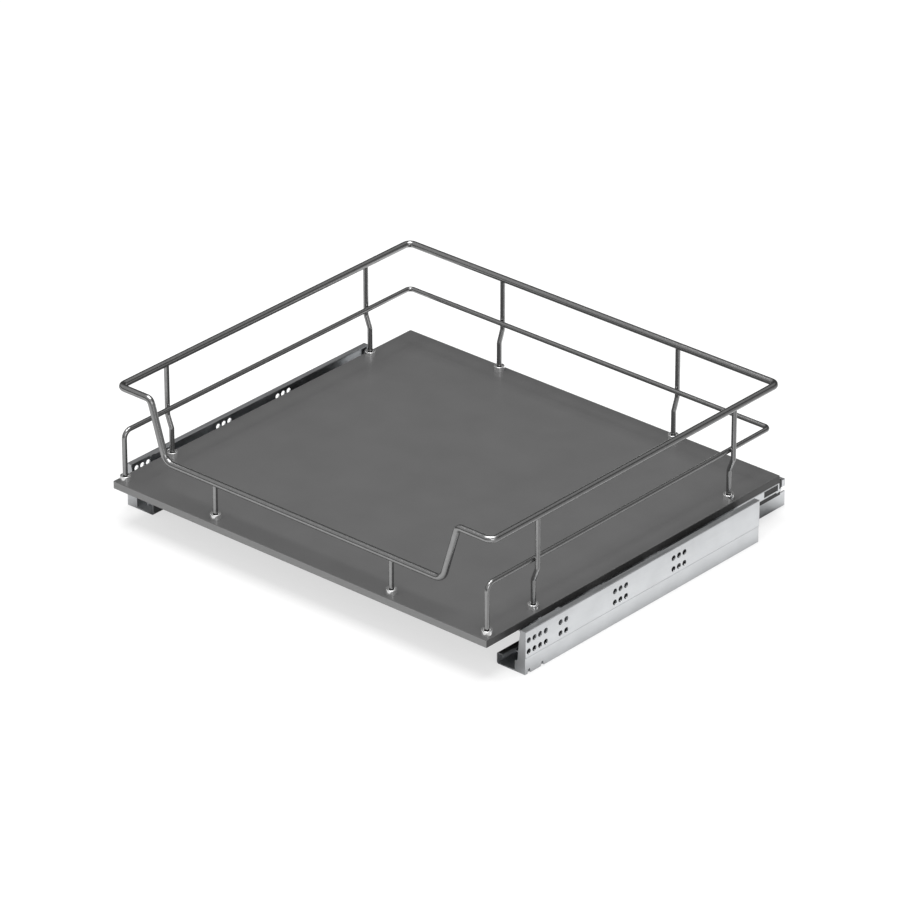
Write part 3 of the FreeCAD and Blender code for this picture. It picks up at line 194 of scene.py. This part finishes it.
def laminate():
    """Dark grey satin board; its front and back edges are lighter, partly as edge banding and
    partly as painted light, and its sides are darkened as painted shade.
    """
    n = Nodes("board_laminate")
    n.surface(IOR=1.45)
    facing = n.parts(n.add("ShaderNodeNewGeometry").outputs["True Normal"])
    low, high = BOARD_FACE
    face = n.blend(n.fade(n.noise(0.05), NOISE_SPAN), grey(low), grey(high))
    # painted light and shade: side edges darkened as painted shade, front and back edges
    # lightened partly as painted light
    sideways = n.calculate("ABSOLUTE", facing["X"])
    edge_band_light_and_shade = n.blend(n.fade(sideways, FRONT_TO_SIDE), grey(BOARD_FRONT_EDGE),
                   grey(BOARD_SIDE_EDGE_SHADE))
    level = n.calculate("ABSOLUTE", facing["Z"])
    whole = n.mix(n.fade(level, EDGE_TO_FACE))
    n.join(edge_band_light_and_shade, whole.inputs["A"])
    n.join(face, whole.inputs["B"])
    n.colour(whole.outputs["Result"])
    n.roughness(n.noise(0.0015), 0.30, 0.36)
    n.bump(n.noise(0.0006), 0.00001, 0.4)
    return n.material


def wire_coat():
    """Glossy dark metallic coat with a faint orange peel."""
    n = Nodes("wire_coat")
    n.surface(Metallic=1.0)
    n.mottle(0.004, grey(0.29), grey(0.33))
    n.roughness(n.noise(0.001), 0.18, 0.24)
    n.bump(n.noise(0.0009), 0.00001, 0.06)
    return n.material


def chrome():
    """Polished foot cups with faint polishing marks."""
    n = Nodes("chrome")
    n.surface(Metallic=0.85)
    n.mottle(0.003, grey(0.82), grey(0.88))
    n.roughness(n.noise(0.0008, stretch=(1, 1, 6)), 0.06, 0.13)
    return n.material


def zinc():
    """Satin zinc sheet, drawn along the runner."""
    n = Nodes("zinc_sheet")
    n.surface(Metallic=1.0)
    n.mottle(0.03, grey(0.62, 0.02), grey(0.67, 0.02))
    drawn = n.noise(0.002, 3.0, (1, 0.03, 1))
    n.roughness(drawn, 0.28, 0.38)
    n.bump(drawn, 0.00001, 0.25)
    return n.material


def bright_steel(name, level, rough):
    """Plated or drawn steel of small parts."""
    n = Nodes(name)
    n.surface(Metallic=1.0)
    n.mottle(0.002, grey(level * 0.93), grey(level))
    n.roughness(n.noise(0.0005), rough, rough + 0.08)
    return n.material


def moulded(name, level, rough, tint=0.0):
    """Moulded plastic with a fine spark-eroded texture."""
    n = Nodes(name)
    n.mottle(0.006, grey(level * 0.9, tint), grey(level, tint))
    n.roughness(n.noise(0.0008), rough, rough + 0.1)
    n.bump(n.noise(0.0004), 0.00002, 0.5)
    return n.material


def rubber():
    """Matt black rubber with a dusty bloom."""
    n = Nodes("bumper_rubber")
    n.mottle(0.002, grey(0.012), grey(0.022))
    n.roughness(n.noise(0.001), 0.7, 0.85)
    n.bump(n.noise(0.0005), 0.00003, 0.6)
    return n.material


FINISHES = {
    "board": laminate(),
    "rail_wire": wire_coat(),
    "foot_chrome": chrome(),
    "runner_zinc": zinc(),
    "screw_zinc": bright_steel("screw_zinc", 0.62, 0.22),
    "cage_plastic": moulded("cage_plastic", 0.025, 0.45),
    "roller_plastic": moulded("roller_plastic", 0.5, 0.35),
    "guide_plastic": moulded("guide_plastic", 0.015, 0.4),
    "clip_plastic": moulded("clip_plastic", 0.05, 0.45, 0.02),
    "lever_plastic": moulded("lever_plastic", 0.12, 0.45, 0.02),
    "cylinder_steel": bright_steel("cylinder_steel", 0.5, 0.28),
    "plunger_plastic": moulded("plunger_plastic", 0.2, 0.35),
    "spring_steel": bright_steel("spring_steel", 0.4, 0.25),
    "bumper_rubber": rubber(),
}


def dress():
    """Gives every node of the model its finish."""
    slots = {row["node"]: row["material_slot"] for row in frame["record"]["subparts"]}
    for name, obj in frame["nodes"].items():
        obj.data.materials.clear()
        obj.data.materials.append(FINISHES[slots[name]])


def facing_aim(turn, rise, roll, distance):
    """The place and turn of a camera or lamp that looks at the aim, with angles in radians."""
    look = Matrix.Rotation(turn, 4, "Z") @ Matrix.Rotation(math.pi / 2 - rise, 4, "X")
    return (Matrix.Translation(AIM) @ look @ Matrix.Rotation(-roll, 4, "Z")
            @ Matrix.Translation((0, 0, distance)))


def make_camera():
    camera = bpy.data.objects.new("camera", bpy.data.cameras.new("camera"))
    camera.data.lens = LENS_MM
    camera.data.sensor_width = SENSOR_MM
    camera.data.clip_end = CAMERA_REACH
    camera.matrix_world = facing_aim(CAMERA_TURN, CAMERA_RISE, CAMERA_ROLL, CAMERA_DISTANCE)
    bpy.context.scene.collection.objects.link(camera)
    bpy.context.scene.camera = camera


def make_lamps():
    for name, (turn, rise, distance, size, power) in LAMPS.items():
        lamp = bpy.data.lights.new(name, "AREA")
        lamp.shape = "SQUARE"
        lamp.size = size
        lamp.energy = power
        obj = bpy.data.objects.new(name, lamp)
        obj.matrix_world = facing_aim(math.radians(turn), math.radians(rise), 0.0, distance)
        bpy.context.scene.collection.objects.link(obj)


def floor_finish():
    """Pale floor that shows near white and keeps a shadow; in metal and glass it glows as
    painted light, with a painted shadow under the tray.
    """
    n = Nodes("floor")
    n.surface(Roughness=0.9, Specular_IOR_Level=0.0, Emission_Color=(1, 1, 1, 1))
    low, high = FLOOR_GREY
    n.mottle(0.4, grey(low), grey(high))
    spot = n.parts(n.place)
    across = n.calculate("ABSOLUTE", spot["X"])
    along = n.calculate("ABSOLUTE", spot["Y"])
    _, (half_width, half_depth, _) = cad_box
    # painted shadow: the reflected glow is cut off over the tray's footprint
    outside = n.calculate(
        "MAXIMUM",
        n.fade(across, (half_width - SHADE_EDGE, half_width + SHADE_EDGE)),
        n.fade(along, (half_depth - SHADE_EDGE, half_depth + SHADE_EDGE)))
    # painted light: the reflected glow beside and behind the tray, and in front of it
    side = n.calculate("MULTIPLY", n.fade(spot["Y"], SIDE_START),
                       n.spread(across, 1.0, 0.0, SIDE_ACROSS_X))
    front = n.calculate("MULTIPLY", n.spread(spot["Y"], FRONT_GLOW, DIM_GLOW, FRONT_FADE),
                        n.fade(spot["Y"], FRONT_END))
    glow = n.calculate("MULTIPLY", outside, n.calculate("MAXIMUM", side, front))
    rays = n.add("ShaderNodeLightPath").outputs
    bounced = n.calculate("MAXIMUM", rays["Is Glossy Ray"], rays["Is Transmission Ray"])
    seen = n.calculate("MAXIMUM", rays["Is Camera Ray"],
                       n.calculate("MULTIPLY", bounced, glow))
    n.join(n.spread(seen, 0.0, FLOOR_GLOW, (0.0, 1.0)), n.shader.inputs["Emission Strength"])
    return n.material


def make_floor():
    half = FLOOR_HALF
    mesh = bpy.data.meshes.new("floor")
    corners = [(-half, -half, 0), (half, -half, 0), (half, half, 0), (-half, half, 0)]
    mesh.from_pydata(corners, [], [(0, 1, 2, 3)])
    mesh.materials.append(floor_finish())
    floor = bpy.data.objects.new("floor", mesh)
    floor.location.z = -FLOOR_GAP
    bpy.context.scene.collection.objects.link(floor)


def make_world():
    """Dim studio surroundings with soft patches of light."""
    world = bpy.data.worlds.new("studio")
    bpy.context.scene.world = world
    world.use_nodes = True
    nodes = world.node_tree.nodes
    links = world.node_tree.links
    direction = nodes.new("ShaderNodeSeparateXYZ")
    links.new(nodes.new("ShaderNodeTexCoord").outputs["Generated"], direction.inputs[0])

    def share(axis, span, level):
        """0 to the level over a span of the direction's part along an axis."""
        blend = nodes.new("ShaderNodeMapRange")
        blend.interpolation_type = "SMOOTHSTEP"
        blend.inputs["From Min"].default_value = span[0]
        blend.inputs["From Max"].default_value = span[1]
        blend.inputs["To Max"].default_value = level
        links.new(direction.outputs[axis], blend.inputs["Value"])
        return blend.outputs["Result"]

    light = None
    for brightness, height, axis, side in PATCHES.values():
        node = nodes.new("ShaderNodeMath")
        node.operation = "MULTIPLY_ADD"
        links.new(share("Z", height, 1.0), node.inputs[0])
        links.new(share(axis, side, brightness), node.inputs[1])
        if light:
            links.new(light, node.inputs[2])
        else:
            node.inputs[2].default_value = ROOM_LIGHT
        light = node.outputs[0]
    links.new(light, nodes["Background"].inputs["Strength"])
    nodes["Background"].inputs["Color"].default_value = (1, 1, 1, 1)


dress()
make_camera()
make_world()
make_floor()
make_lamps()
bpy.context.scene.view_settings.view_transform = "Standard"
